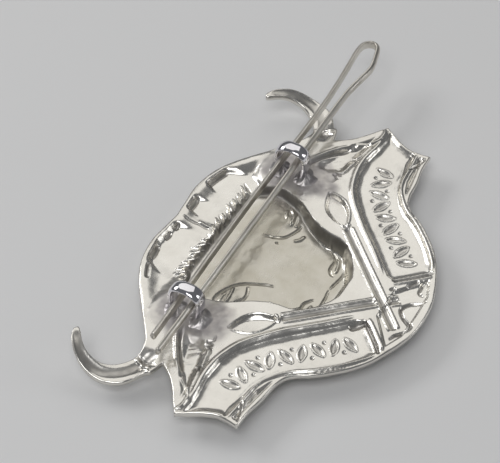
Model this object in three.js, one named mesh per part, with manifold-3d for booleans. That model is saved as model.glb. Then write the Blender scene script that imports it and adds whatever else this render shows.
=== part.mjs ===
// Cap badge lying on its face: a die-struck sheet-metal plate with a buffalo head over crossed spears
// and a V-shaped ribbon, two wire lugs soldered to its hollow back, and the half-round wire split pin
// that passes through both lugs.
// Millimetres. X runs along the pin towards its loop, Y towards the crown of the head as it is worn,
// Z out of the back of the badge. The origin is the flat front of the muzzle, which rests on the table.

import * as THREE from 'three';
import { mergeVertices } from 'three/addons/utils/BufferGeometryUtils.js';
import Module from 'manifold-3d';

const wasm = await Module();
wasm.setup();

// ---- driving dimensions -------------------------------------------------------------------------
const SHEET = 0.9;             // thickness of the struck sheet
const RELIEF = 2.6;            // deepest relief below the flat ground of the back
const GROUND = SHEET + RELIEF; // height of the flat ground of the back above the table
const PIN_LINE = 13.0;         // distance from the muzzle centre up to the line of the lugs
const LATTICE = 0.35;          // spacing of the lattice the relief is worked out on
const MESH_STRIDE = 3;         // every third lattice point becomes a vertex

const SKEW = 1.5 * Math.PI / 180;      // the pin lies turned a little against the badge
const LUG_SKEW = 0.94 * Math.PI / 180; // and the line of the two lugs a little less
const LUG_REACH = 15.2;        // from the centre to each lug
const LUG_WALL = 0.84;         // radial thickness of the lug's oval wire
const LUG_WIDTH = 2.2;         // width of the lug's wire along the pin
const LUG_FOOT = 1.8;          // from the lug's middle to each foot
// Centre line of half a lug, from its foot to its crown: distance from the middle, height.
const LUG_LINE = [[LUG_FOOT, 0.3], [1.98, 1.1], [2.13, 2.1], [2.19, 3.0], [2.14, 3.8], [1.78, 4.6],
  [0.98, 5.08], [0, 5.2]];
const SEAT_GAP = 0.3;          // space between pieces that are only soldered together
const SEAT_RADIUS = 3.0;       // flat ground kept under each lug foot

const FILLET_RADIUS = 1.6;     // reach of the solder around a foot, across the pin
const FILLET_STRETCH = 1.5;    // and how much longer it is along the pin
const FILLET_SHIFT = 0.25;     // it has run out to the outside of the foot
const FILLET_HEIGHT = 1.2;     // how far the solder climbs up a foot

const PIN_RADIUS = 0.7;        // radius of the half-round wire
const PIN_HEIGHT = 3.0;        // centre of the pin above the ground

const BOSS_DEPTH = 0.95;
const PART_DEPTH = 0.7;        // depth left on the parting line between the two lobes of the boss
const FACE_WALL = 1.45;        // height of the steep wall around the face
const RIBBON_DEPTH = 0.6;
const BLADE_DEPTH = 0.7;
const EAR_DEPTH = 0.7;
const TAIL_DEPTH = 0.5;
const HORN_DIP = 0.6;          // the horn starts this far below the ground
const HORN_RISE = 2.3;         // and its tip climbs this far back up

const WHITE_METAL = { color: 0xc4bfb4, roughness: 0.32, metalness: 1.0 };
const CHROME = { color: 0xd8d6de, roughness: 0.1, metalness: 1.0 };
const SOLDER = { color: 0x8f8a92, roughness: 0.5, metalness: 0.9 };
const NICKEL_WIRE = { color: 0xb3ab9e, roughness: 0.35, metalness: 1.0 };

// ---- outline of the plate, right half, from the crown down to the bottom point ---------------------
// Each run is one smooth stretch, and the runs meet at corners. Coordinates are from the pin line.
const OUTLINE_RUNS = [
  [[0, 10.7], [2.5, 10.95], [5.5, 11.25], [8.5, 10.9], [11, 10.1], [13.5, 8.7], [16, 6.9], [18.5, 4.9],
    [20.5, 3.3], [22.3, 2.2], [24.2, 1.9], [26, 2.7], [27.4, 4.1], [28.2, 5.8], [28, 7.6], [27.2, 8.9],
    [26, 10]],
  [[26, 10], [25.6, 10.6], [26.2, 11]],
  [[26.2, 11], [27.5, 10.5], [28.7, 9.5], [29.7, 8.3], [30.4, 6.7], [30.6, 4.8], [30.3, 3], [29.4, 1.4],
    [28, 0.3], [26.8, -0.5], [26.4, -1.2], [25.4, -1.6], [24.2, -1.9]],
  [[24.2, -1.9], [25.6, -3.8], [27.3, -5.3], [28.9, -6.4], [30.6, -7.6]],
  [[30.6, -7.6], [29.5, -9.4], [28.7, -10.9], [28.1, -12.6], [28.1, -14.3], [28.3, -15.8]],
  [[28.3, -15.8], [25.5, -15.9], [22.5, -16.5], [19.8, -16.8], [18.2, -17.4], [17, -18.6]],
  [[17, -18.6], [16, -20.3], [14.5, -22.1], [12.4, -24.2], [10.2, -25.8], [8, -26.9], [5.3, -28],
    [2.7, -28.7], [0, -28.9]],
];

// ---- the sunk areas of the back, right half ---------------------------------------------------------
// Loops that cross the middle run on to x = -12, so that the middle itself is no edge.
const BOSS = [[-12, 10.3], [2.5, 10.5], [5.5, 10.8], [8.5, 10.4], [11, 9.6], [13.4, 8.2], [15.8, 6.4],
  [17.6, 4.9], [15, 3.6], [11, 2.6], [9, 2.6], [-12, 2.6]];
const FACE = [[-12, 4.6], [8, 4.2], [10.2, 3.2], [11.6, 1.5], [11.9, -0.5], [11.3, -2.5], [10.7, -4],
  [9.75, -5.5], [8.8, -7], [8, -8.7], [7.6, -10.3], [7.5, -12], [6.9, -13.4], [5.5, -14.9], [3.6, -16.2],
  [2, -16.9], [-12, -17.1]];
const RIBBON = [[30.2, -8.3], [26, -8.4], [23, -8], [20, -8.2], [17, -9.2], [15, -10.6], [13, -12.3],
  [11, -14.2], [8, -17.4], [4.5, -20.9], [4.3, -22], [8.1, -26], [9.6, -25.3], [12, -23.5], [14, -21.5],
  [15.4, -19.7], [16.4, -18.1], [18, -16.5], [20, -15.2], [22, -14.5], [25, -14.1], [27.5, -13.7],
  [27.6, -12.6], [28.2, -10.9], [29, -9.5]];
const FOLD = [[27.4, -14.4], [25, -14.9], [22, -15.2], [20, -15.9], [19.2, -16.2], [22.5, -15.9],
  [25.5, -15.3], [27.6, -15.2]];
const EAR = [[17.5, -1.4], [20, -1.7], [23.4, -2.6], [25, -4.4], [26.8, -5.9], [29, -7.2], [26, -7.5],
  [22, -7], [18.6, -6.4], [17.6, -4]];
const TAIL = [[-12, -23.6], [2.6, -22.9], [6.6, -26.9], [4, -27.6], [-12, -28.1]];
const BLADE = { x: 12.1, y: -8.9, angle: 47 * Math.PI / 180, halfLength: 3.6, halfWidth: 1.6 };
const BROW_LEVEL = 3;          // the floor of the face sinks from here
const MUZZLE_LEVEL = -11.6;    // down to its full depth here

const SHAFT_START = [9.6, -11.7];
const SHAFT_END = [-3.3, -25.9];
const SHAFT_WIDTH = 1.1;
const SHAFT_CUT = 0.4;

const LEAVES_PER_SIDE = 9;
const LEAF_LENGTH = 2.9;
const LEAF_WIDTH = 1.1;
const LEAF_CUT = 0.35;
const LEAF_LEAN = 24 * Math.PI / 180;
const LEAF_PATH = [[22.4, -11.3], [17.6, -12.9], [13.2, -16.9], [8.4, -22]];

// ---- small geometry helpers --------------------------------------------------------------------------
const clamp01 = (t) => Math.min(1, Math.max(0, t));
const smooth = (a, b, t) => {
  const u = clamp01((t - a) / (b - a));
  return u * u * (3 - 2 * u);
};

function sampleRun(points, perSpan) {
  const curve = new THREE.SplineCurve(points.map(([x, y]) => new THREE.Vector2(x, y)));
  return curve.getPoints((points.length - 1) * perSpan).map((p) => [p.x, p.y]);
}

function mirrored(half) {
  const other = half.filter(([x]) => x > 0).map(([x, y]) => [-x, y]).reverse();
  return [...half.filter(([x]) => x >= 0), ...other];
}

// Distance to a closed loop, positive inside it.
function depthInside(loop, x, y) {
  let nearest = Infinity;
  let inside = false;
  for (let i = 0, j = loop.length - 1; i < loop.length; j = i, i += 1) {
    const [x1, y1] = loop[i];
    const [x2, y2] = loop[j];
    const dx = x2 - x1;
    const dy = y2 - y1;
    const t = clamp01(((x - x1) * dx + (y - y1) * dy) / (dx * dx + dy * dy));
    nearest = Math.min(nearest, Math.hypot(x - x1 - t * dx, y - y1 - t * dy));
    if ((y1 > y) !== (y2 > y) && x < ((x2 - x1) * (y - y1)) / (y2 - y1) + x1) inside = !inside;
  }
  return inside ? nearest : -nearest;
}

// ---- relief of the back, measured from the ground ------------------------------------------------------
function relief(xSigned, y) {
  const x = Math.abs(xSigned);
  let h = 0;

  const boss = depthInside(BOSS, x, y);
  if (boss > 0) {
    const parting = 1 - smooth(0.3, 1.8, x);
    const depth = BOSS_DEPTH - (BOSS_DEPTH - PART_DEPTH) * parting;
    h = Math.min(h, -depth * smooth(0, 1.3, boss));
  }

  const face = depthInside(FACE, x, y);
  if (face > 0) {
    const floor = FACE_WALL + (RELIEF - FACE_WALL) * smooth(BROW_LEVEL, MUZZLE_LEVEL, y);
    h = Math.min(h, -floor * smooth(0, 1.3, face));
  }

  const ribbon = Math.max(depthInside(RIBBON, x, y), depthInside(FOLD, x, y));
  h = Math.min(h, -RIBBON_DEPTH * smooth(0, 1, ribbon));

  const ear = depthInside(EAR, x, y);
  h = Math.min(h, -EAR_DEPTH * smooth(0, 1.6, ear));

  const tail = depthInside(TAIL, x, y);
  h = Math.min(h, -TAIL_DEPTH * smooth(0, 1, tail));

  const along = (x - BLADE.x) * Math.cos(BLADE.angle) + (y - BLADE.y) * Math.sin(BLADE.angle);
  const across = -(x - BLADE.x) * Math.sin(BLADE.angle) + (y - BLADE.y) * Math.cos(BLADE.angle);
  const edge = BLADE.halfWidth * (1 - (along / BLADE.halfLength) ** 2) - Math.abs(across);
  if (Math.abs(along) < BLADE.halfLength) h = Math.min(h, -BLADE_DEPTH * smooth(0, 0.9, edge));

  if (y > -1.6 && x > 21.5) {
    const horn = smooth(22.5, 25.5, x) * smooth(-1.6, 1, y);
    h += horn * (HORN_RISE * smooth(3.5, 11, y) - HORN_DIP);
  }

  for (const side of [-1, 1]) {
    for (const foot of [-1, 1]) {
      const seat = lugPoint(side, foot * LUG_FOOT);
      const away = Math.hypot(xSigned - seat[0], y - seat[1]);
      h *= smooth(SEAT_RADIUS, SEAT_RADIUS + 1.2, away);
    }
  }
  return h;
}

// A point on the badge given along and across the turned line of the lugs.
function lugPoint(side, across) {
  const along = side * LUG_REACH;
  const c = Math.cos(LUG_SKEW);
  const s = Math.sin(LUG_SKEW);
  return [along * c - across * s, along * s + across * c];
}

// ---- meshes and booleans -------------------------------------------------------------------------------
function geometryFrom(vertices, triangles) {
  const geometry = new THREE.BufferGeometry();
  geometry.setAttribute('position', new THREE.BufferAttribute(new Float32Array(vertices), 3));
  geometry.setIndex(new THREE.BufferAttribute(new Uint32Array(triangles), 1));
  geometry.computeVertexNormals();
  return geometry;
}

function toSolid(geometry) {
  const bare = geometry.clone();
  bare.deleteAttribute('normal');
  bare.deleteAttribute('uv');
  const merged = mergeVertices(bare, 1e-5);
  return new wasm.Manifold(new wasm.Mesh({
    numProp: 3,
    vertProperties: new Float32Array(merged.attributes.position.array),
    triVerts: new Uint32Array(merged.index.array),
  }));
}

function fromSolid(solid) {
  const mesh = solid.getMesh();
  return geometryFrom(mesh.vertProperties, mesh.triVerts);
}

function prism(points, bottom, top) {
  const shape = new THREE.Shape(points.map(([x, y]) => new THREE.Vector2(x, y)));
  const geometry = new THREE.ExtrudeGeometry(shape, { depth: top - bottom, bevelEnabled: false });
  geometry.translate(0, 0, bottom);
  return geometry;
}

// ---- the struck plate ------------------------------------------------------------------------------------
function reliefSlab() {
  const spacing = LATTICE * MESH_STRIDE;
  const columns = 2 * Math.ceil(32.5 / spacing);
  const rows = Math.ceil(43 / spacing);
  const left = -columns / 2 * spacing;
  const low = -30.2;
  const fineColumns = columns * MESH_STRIDE + 1;
  const fineRows = rows * MESH_STRIDE + 1;
  const back = [];
  for (let j = 0; j < fineRows; j += 1) {
    for (let i = 0; i < fineColumns; i += 1) {
      back.push(GROUND + relief(left + i * LATTICE, low + j * LATTICE));
    }
  }
  // The front is the back moved out by the sheet thickness all round, as a struck sheet is.
  const reach = Math.round(SHEET / LATTICE);
  const frontHeight = (i, j) => {
    let lowest = Infinity;
    for (let dj = -reach; dj <= reach; dj += 1) {
      for (let di = -reach; di <= reach; di += 1) {
        const r2 = (di * di + dj * dj) * LATTICE * LATTICE;
        const ii = Math.min(fineColumns - 1, Math.max(0, i + di));
        const jj = Math.min(fineRows - 1, Math.max(0, j + dj));
        if (r2 < SHEET * SHEET) {
          lowest = Math.min(lowest, back[jj * fineColumns + ii] - Math.sqrt(SHEET * SHEET - r2));
        }
      }
    }
    return lowest;
  };
  const vertices = [];
  for (const face of ['back', 'front']) {
    for (let j = 0; j <= rows; j += 1) {
      for (let i = 0; i <= columns; i += 1) {
        const fi = i * MESH_STRIDE;
        const fj = j * MESH_STRIDE;
        const z = face === 'back' ? back[fj * fineColumns + fi] : frontHeight(fi, fj);
        vertices.push(left + i * spacing, low + j * spacing, z);
      }
    }
  }
  const layer = (columns + 1) * (rows + 1);
  const at = (i, j, k) => k * layer + j * (columns + 1) + i;
  const triangles = [];
  for (let j = 0; j < rows; j += 1) {
    for (let i = 0; i < columns; i += 1) {
      const lean = (i < columns / 2);
      const a = [at(i, j, 0), at(i + 1, j, 0), at(i + 1, j + 1, 0), at(i, j + 1, 0)];
      const b = a.map((v) => v + layer);
      if (lean) {
        triangles.push(a[0], a[1], a[3], a[1], a[2], a[3]);
        triangles.push(b[0], b[3], b[1], b[1], b[3], b[2]);
      } else {
        triangles.push(a[0], a[1], a[2], a[0], a[2], a[3]);
        triangles.push(b[0], b[2], b[1], b[0], b[3], b[2]);
      }
    }
  }
  for (let i = 0; i < columns; i += 1) {
    triangles.push(at(i, 0, 1), at(i + 1, 0, 1), at(i, 0, 0), at(i + 1, 0, 1), at(i + 1, 0, 0), at(i, 0, 0));
    triangles.push(at(i, rows, 0), at(i + 1, rows, 0), at(i, rows, 1));
    triangles.push(at(i + 1, rows, 0), at(i + 1, rows, 1), at(i, rows, 1));
  }
  for (let j = 0; j < rows; j += 1) {
    triangles.push(at(0, j, 0), at(0, j + 1, 0), at(0, j, 1), at(0, j + 1, 0), at(0, j + 1, 1), at(0, j, 1));
    triangles.push(at(columns, j, 1), at(columns, j + 1, 1), at(columns, j, 0));
    triangles.push(at(columns, j + 1, 1), at(columns, j + 1, 0), at(columns, j, 0));
  }
  return geometryFrom(vertices, triangles);
}

function shaftCutter(side) {
  const dx = SHAFT_END[0] - SHAFT_START[0];
  const dy = SHAFT_END[1] - SHAFT_START[1];
  const length = Math.hypot(dx, dy);
  const box = new THREE.BoxGeometry(length, SHAFT_WIDTH, 2 * SHAFT_CUT);
  box.rotateZ(Math.atan2(dy, dx));
  box.translate((SHAFT_START[0] + SHAFT_END[0]) / 2, (SHAFT_START[1] + SHAFT_END[1]) / 2, GROUND);
  if (side < 0) box.rotateY(Math.PI).translate(0, 0, 2 * GROUND);
  return box;
}

function leafOutline(length, width) {
  const points = [];
  for (let k = 0; k < 12; k += 1) {
    const a = k / 12 * 2 * Math.PI;
    points.push([length / 2 * Math.cos(a), width / 2 * Math.sin(a)]);
  }
  return points;
}

function leafCutters() {
  const path = new THREE.SplineCurve(LEAF_PATH.map(([x, y]) => new THREE.Vector2(x, y)));
  const cutters = [];
  for (const side of [-1, 1]) {
    for (let n = 0; n < LEAVES_PER_SIDE; n += 1) {
      const t = n / (LEAVES_PER_SIDE - 1);
      const p = path.getPointAt(t);
      const tangent = path.getTangentAt(t);
      const lean = (n % 2 ? 1 : -1) * LEAF_LEAN;
      const turn = Math.atan2(tangent.y, tangent.x) + Math.PI / 2 + lean;
      const floor = GROUND - RIBBON_DEPTH - LEAF_CUT;
      const leaf = prism(leafOutline(LEAF_LENGTH, LEAF_WIDTH), floor, GROUND + 1);
      leaf.rotateZ(turn);
      leaf.translate(p.x, p.y, 0);
      if (side < 0) leaf.applyMatrix4(new THREE.Matrix4().makeScale(-1, 1, 1));
      cutters.push(side < 0 ? flipped(leaf) : leaf);
    }
  }
  return cutters;
}

function flipped(geometry) {
  const bare = geometry.index ? geometry.toNonIndexed() : geometry.clone();
  const position = bare.attributes.position.array;
  for (let t = 0; t < position.length; t += 9) {
    for (let c = 0; c < 3; c += 1) {
      const keep = position[t + 3 + c];
      position[t + 3 + c] = position[t + 6 + c];
      position[t + 6 + c] = keep;
    }
  }
  return bare;
}

function struckPlate() {
  const half = OUTLINE_RUNS.flatMap((run, n) => sampleRun(run, 3).slice(n ? 1 : 0));
  let solid = toSolid(reliefSlab()).intersect(toSolid(prism(mirrored(half), -5, 20)));
  for (const side of [-1, 1]) solid = solid.subtract(toSolid(shaftCutter(side)));
  for (const leaf of leafCutters()) solid = solid.subtract(toSolid(leaf));
  return fromSolid(solid);
}

// ---- lugs, solder and pin ------------------------------------------------------------------------------------
class Arch extends THREE.Curve {
  // From one foot up over the pin and down to the other foot, in the plane across the pin.
  constructor() {
    super();
    const near = LUG_LINE.map(([y, z]) => new THREE.Vector3(0, -y, z));
    const far = LUG_LINE.slice(0, -1).reverse().map(([y, z]) => new THREE.Vector3(0, y, z));
    this.line = new THREE.CatmullRomCurve3([...near, ...far], false, 'centripetal');
  }

  getPoint(t, target = new THREE.Vector3()) {
    return this.line.getPoint(t, target);
  }
}

function lug() {
  const section = new THREE.Shape();
  section.absellipse(0, 0, LUG_WIDTH / 2, LUG_WALL / 2, 0, 2 * Math.PI, false, 0);
  const geometry = new THREE.ExtrudeGeometry(section, { extrudePath: new Arch(), steps: 26, curveSegments: 8 });
  return geometry;
}

function fillet(foot) {
  const floor = SEAT_GAP;
  const profile = [[0, floor], [FILLET_RADIUS, floor]];
  for (let k = 1; k <= 5; k += 1) {
    const a = k / 5 * Math.PI / 2;
    const r = FILLET_RADIUS - (FILLET_RADIUS - 0.75) * Math.sin(a);
    profile.push([r, floor + 0.12 + (FILLET_HEIGHT - 0.12) * (1 - Math.cos(a))]);
  }
  profile.push([0, floor + FILLET_HEIGHT]);
  const cone = new THREE.LatheGeometry(profile.map(([r, z]) => new THREE.Vector2(r, z)), 24);
  cone.rotateX(Math.PI / 2);
  cone.scale(FILLET_STRETCH, 1, 1);
  cone.translate(0, foot * FILLET_SHIFT, 0);
  const hole = new THREE.CylinderGeometry(1, 1, 8, 16);
  hole.rotateX(Math.PI / 2);
  hole.scale(LUG_WIDTH / 2 + SEAT_GAP, LUG_WALL / 2 + SEAT_GAP + 0.1, 1);
  return fromSolid(toSolid(cone).subtract(toSolid(hole)));
}

// Distance of each leg's flat side from the pin's own centre line, along the pin.
const UPPER_LEG = [[-23, 0.62], [-15, 0.7], [-5, 0.84], [5, 0.87], [12, 0.82], [20, 0.64], [27, 0.62],
  [32, 0.82], [36, 1.1], [39.5, 1.4], [41.3, 1.35], [42.3, 0.85]];
const LOOP_TOP = [42.6, 0.1];
const LOWER_LEG = [[42, -0.55], [40, -1.1], [38.2, -1.5], [36.8, -1.6], [34, -1.2], [31, -0.84], [27, -0.74],
  [20, -0.74], [12, -0.84], [5, -0.87], [-5, -0.86], [-15, -0.78], [-25, -0.7]];

function splitPin() {
  // The path is the flat side of the wire; the half-round section lies outside it.
  const path = new THREE.CatmullRomCurve3(
    [...UPPER_LEG, LOOP_TOP, ...LOWER_LEG].map(([x, y]) => new THREE.Vector3(x, y, 0)), false, 'centripetal');
  const steps = 96;
  const arc = 8;
  const vertices = [];
  for (let k = 0; k <= steps; k += 1) {
    const p = path.getPointAt(k / steps);
    const tangent = path.getTangentAt(k / steps);
    for (let m = 0; m <= arc; m += 1) {
      const a = m / arc * Math.PI;
      const out = PIN_RADIUS * Math.sin(a);
      vertices.push(p.x - tangent.y * out, p.y + tangent.x * out, PIN_RADIUS * Math.cos(a));
    }
  }
  const ring = arc + 1;
  const triangles = [];
  for (let k = 0; k < steps; k += 1) {
    for (let m = 0; m < ring; m += 1) {
      const a = k * ring + m;
      const b = k * ring + (m + 1) % ring;
      triangles.push(a, a + ring, b, b, a + ring, b + ring);
    }
  }
  for (let m = 1; m < arc; m += 1) {
    triangles.push(0, m, m + 1);
    triangles.push(steps * ring, steps * ring + m + 1, steps * ring + m);
  }
  return geometryFrom(vertices, triangles);
}

// ---- assembly --------------------------------------------------------------------------------------------
function piece(name, geometry, look) {
  const mesh = new THREE.Mesh(geometry, new THREE.MeshStandardMaterial(look));
  mesh.name = name;
  return mesh;
}

const badge = new THREE.Group();
badge.position.set(0, PIN_LINE, 0);
badge.add(piece('struck_plate', struckPlate(), WHITE_METAL));

const lugs = new THREE.Group();
lugs.position.set(0, 0, GROUND);
lugs.rotation.z = LUG_SKEW;
badge.add(lugs);

for (const [side, label] of [[-1, 'left'], [1, 'right']]) {
  const loop = piece(`${label}_lug`, lug(), CHROME);
  loop.position.x = side * LUG_REACH;
  lugs.add(loop);
  for (const [foot, place] of [[-1, 'lower'], [1, 'upper']]) {
    const smear = piece(`${label}_lug_${place}_solder`, fillet(foot), SOLDER);
    smear.position.set(side * LUG_REACH, foot * LUG_FOOT, 0);
    lugs.add(smear);
  }
}

const pin = piece('split_pin', splitPin(), NICKEL_WIRE);
pin.position.z = GROUND + PIN_HEIGHT;
pin.rotation.z = SKEW;
badge.add(pin);

export default badge;
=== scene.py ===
import math
import bpy
import bmesh
import numpy as np
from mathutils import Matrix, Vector
from mathutils.geometry import delaunay_2d_cdt


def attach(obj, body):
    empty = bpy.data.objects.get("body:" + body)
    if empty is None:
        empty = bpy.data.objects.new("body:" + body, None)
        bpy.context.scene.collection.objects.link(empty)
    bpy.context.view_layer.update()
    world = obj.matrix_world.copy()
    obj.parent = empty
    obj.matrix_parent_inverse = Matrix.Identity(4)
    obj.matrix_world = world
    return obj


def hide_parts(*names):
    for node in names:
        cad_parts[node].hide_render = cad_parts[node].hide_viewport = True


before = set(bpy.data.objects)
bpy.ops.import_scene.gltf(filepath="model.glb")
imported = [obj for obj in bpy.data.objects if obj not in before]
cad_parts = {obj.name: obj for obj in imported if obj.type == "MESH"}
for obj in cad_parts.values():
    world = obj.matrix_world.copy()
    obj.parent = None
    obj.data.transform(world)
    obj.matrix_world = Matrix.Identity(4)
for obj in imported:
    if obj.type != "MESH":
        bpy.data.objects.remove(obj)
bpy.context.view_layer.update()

# All lengths are millimetres until the floor and the lights, which are in metres, as the frame is.
# x runs along the pin and y, measured from the line of the lugs, to the crown; heights are over the ground.
SHEET = 0.9
RELIEF = 2.6
GROUND = SHEET + RELIEF
PIN_LINE = 13.0
SKEW = math.radians(1.5)
LUG_SKEW = math.radians(0.94)
LUG_REACH = 15.2
LUG_WALL = 0.84
LUG_WIDTH = 2.2
LUG_FOOT = 1.8
LUG_LINE = [(1.74, -0.05), (LUG_FOOT, 0.3), (1.98, 1.1), (2.13, 2.1), (2.19, 3.0), (2.14, 3.8), (1.78, 4.6),
            (0.98, 5.07), (0, 5.18)]
PIN_RADIUS = 0.7
PIN_HEIGHT = 3.0
PLATE_PITCH = 0.175
OUTLINE_STEP = 0.2
OUTLINE_HALF_WIDTH = 30.595
HAIR_STRIP = (-10.6, 10.6, 3.7, 6.0)

BOSS_DEPTH = 0.95
SHARP_BEND = 1.1
SOFT_BEND = 2.9
# along the crown: where each sharp bend starts, is full, starts to fade and ends
SHARP_BENDS = [(-10.5, -9, -2, -0.8), (1.4, 2.2, 4, 5.2), (6.6, 7.8, 11, 12.4)]
FACE_WALL = 1.45
BROW_LEVEL = 3
MUZZLE_LEVEL = -11.6
RIBBON_DEPTH = 0.55
RIBBON_HALF = 3.2
BLADE_DEPTH = 0.7
HORN_RISE = 2.3
HORN_DIP = 0.6


def to_frame(p):
    """From these millimetres to the frame's metres."""
    p = np.asarray(p, float)
    return (p + np.array([0, PIN_LINE, 0])) * 0.001


def skewed(p, angle):
    """Points given along and across the pin or the lugs and above the ground, in the badge's own place."""
    p = np.asarray(p, float)
    c, s = math.cos(angle), math.sin(angle)
    return np.stack([p[:, 0] * c - p[:, 1] * s, p[:, 0] * s + p[:, 1] * c, p[:, 2] + GROUND], -1)


def smooth(a, b, t):
    """Rises softly from 0 at a to 1 at b."""
    u = np.clip((t - a) / (b - a), 0, 1)
    return u * u * (3 - 2 * u)


def spline(points, per):
    """Catmull-Rom curve through the points, with so many steps between each two."""
    p = np.asarray(points, float)
    last = len(p) - 1
    out = []
    for i in range(last):
        p0, p1, p2, p3 = p[max(i - 1, 0)], p[i], p[i + 1], p[min(i + 2, last)]
        v0, v1 = (p2 - p0) / 2, (p3 - p1) / 2
        cubic = 2 * p1 - 2 * p2 + v0 + v1
        square = 3 * p2 - 3 * p1 - 2 * v0 - v1
        for t in np.arange(per) / per:
            out.append(cubic * t**3 + square * t**2 + v0 * t + p1)
    out.append(p[-1])
    return np.array(out)


def distance(path, x, y, closed=False):
    """Distance of the points from a line of straight pieces, and how far along it (0 to 1) they are."""
    p = np.asarray(path, float)
    q = np.roll(p, -1, 0) if closed else p[1:]
    p = p if closed else p[:-1]
    best = np.full(x.shape, 1e9)
    where = np.zeros(x.shape)
    for k, (a, b) in enumerate(zip(p, q)):
        d = b - a
        l2 = max(d @ d, 1e-12)
        t = np.clip(((x - a[0]) * d[0] + (y - a[1]) * d[1]) / l2, 0, 1)
        r = np.hypot(x - a[0] - t * d[0], y - a[1] - t * d[1])
        near = r < best
        best[near] = r[near]
        where[near] = (k + t[near]) / len(p)
    return best, where


def inside(loop, x, y):
    p = np.asarray(loop, float)
    q = np.roll(p, -1, 0)
    hit = np.zeros(x.shape, bool)
    for a, b in zip(p, q):
        if a[1] == b[1]:
            continue
        cross = ((a[1] > y) != (b[1] > y)) & (x < (b[0] - a[0]) * (y - a[1]) / (b[1] - a[1]) + a[0])
        hit ^= cross
    return hit


def depth_in(loop, x, y):
    """Distance inside a closed loop, negative outside it; far points are only roughly right."""
    p = np.asarray(loop, float)
    out = np.full(x.shape, -9.0)
    lo, hi = p.min(0) - 2, p.max(0) + 2
    near = (x > lo[0]) & (x < hi[0]) & (y > lo[1]) & (y < hi[1])
    r, _ = distance(p, x[near], y[near], True)
    out[near] = np.where(inside(p, x[near], y[near]), r, -r)
    return out


# ---- outline, right half ----------------------------------------------------------------------------
OUTLINE_RUNS = [
    [(0, 10.7), (2.5, 10.95), (5.5, 11.25), (8.5, 10.9), (11, 10.1), (13.5, 8.7), (16, 6.9), (18.5, 4.9),
     (20.5, 3.3), (22.3, 2.2), (24.2, 1.9), (26, 2.7), (27.4, 4.1), (28.2, 5.8),
     (28, 7.6), (27.2, 8.9), (26, 10)],
    [(26, 10), (25.6, 10.6), (26.2, 11)],
    [(26.2, 11), (27.5, 10.5), (28.7, 9.5), (29.7, 8.3), (30.4, 6.7), (30.6, 4.8), (30.3, 3), (29.4, 1.4),
     (28, 0.3), (26.8, -0.5), (26.4, -1.2), (25.4, -1.6), (24.2, -1.9)],
    [(24.2, -1.9), (25.6, -3.8), (27.3, -5.3), (28.9, -6.4), (30.6, -7.6)],
    [(30.6, -7.6), (29.5, -9.4), (28.7, -10.9), (28.1, -12.6), (28.1, -14.3), (28.3, -15.8)],
    [(28.3, -15.8), (25.5, -15.9), (22.5, -16.5), (19.8, -16.8), (18.2, -17.4), (17, -18.6)],
    [(17, -18.6), (16, -20.3), (14.5, -22.1), (12.4, -24.2), (10.2, -25.8), (8, -26.9),
     (5.3, -28), (2.7, -28.7), (0, -28.9)],
]

# ---- sunk areas of the back, right half ---------------------------------------------------------------
# Loops that cross the middle run on to x = -12, so that the middle itself is no edge.
BOSS = [(-12, 10.3), (2.5, 10.5), (5.5, 10.8), (8.5, 10.4), (11, 9.6), (13.4, 8.2), (15.8, 6.4), (17.6, 4.9),
        (15, 3.6), (11, 2.6), (9, 2.6), (-12, 2.6)]
FACE = [(-12, 4.6), (8, 4.2), (10.2, 3.2), (11.6, 1.5), (11.9, -0.5), (11.3, -2.5), (10.7, -4), (9.75, -5.5),
        (8.8, -7), (8, -8.7), (7.6, -10.3), (7.5, -12), (6.9, -13.4), (5.5, -14.9), (3.6, -16.2), (2, -16.9),
        (-12, -17.1)]
RIBBON = [(30.0, -8.4), (28, -8.55), (26, -8.4), (23, -8), (20, -8.2), (17, -9.2), (15, -10.6), (13, -12.3),
          (11, -14.2), (8, -17.4), (4.5, -20.9), (4.3, -22), (8.1, -25.9), (9.7, -25.2), (12, -23.4),
          (14, -21.4), (15.4, -19.6), (16.4, -18.0), (18, -16.4), (20, -15.1), (22, -14.4), (25, -14.05),
          (27.5, -13.7), (27.6, -12.6), (28.2, -10.9), (29, -9.5)]
FOLD = [(27.4, -14.4), (25, -14.8), (22, -15.1), (20, -15.8), (19.0, -16.4), (22.5, -15.9), (25.5, -15.35),
        (27.6, -15.2)]
EAR = [(17.5, -1.4), (20, -1.9), (23.4, -3.0), (25, -4.6), (26.8, -6.0), (29, -7.2), (26, -7.5), (22, -7),
       (18.6, -6.4), (17.6, -4)]
TAIL = [(-12, -23.6), (2.6, -22.9), (7.0, -26.4), (4, -27.6), (-12, -28.1)]
BLADE = dict(x=12.1, y=-8.9, angle=math.radians(47), half_length=3.7, half_width=1.65)

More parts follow.
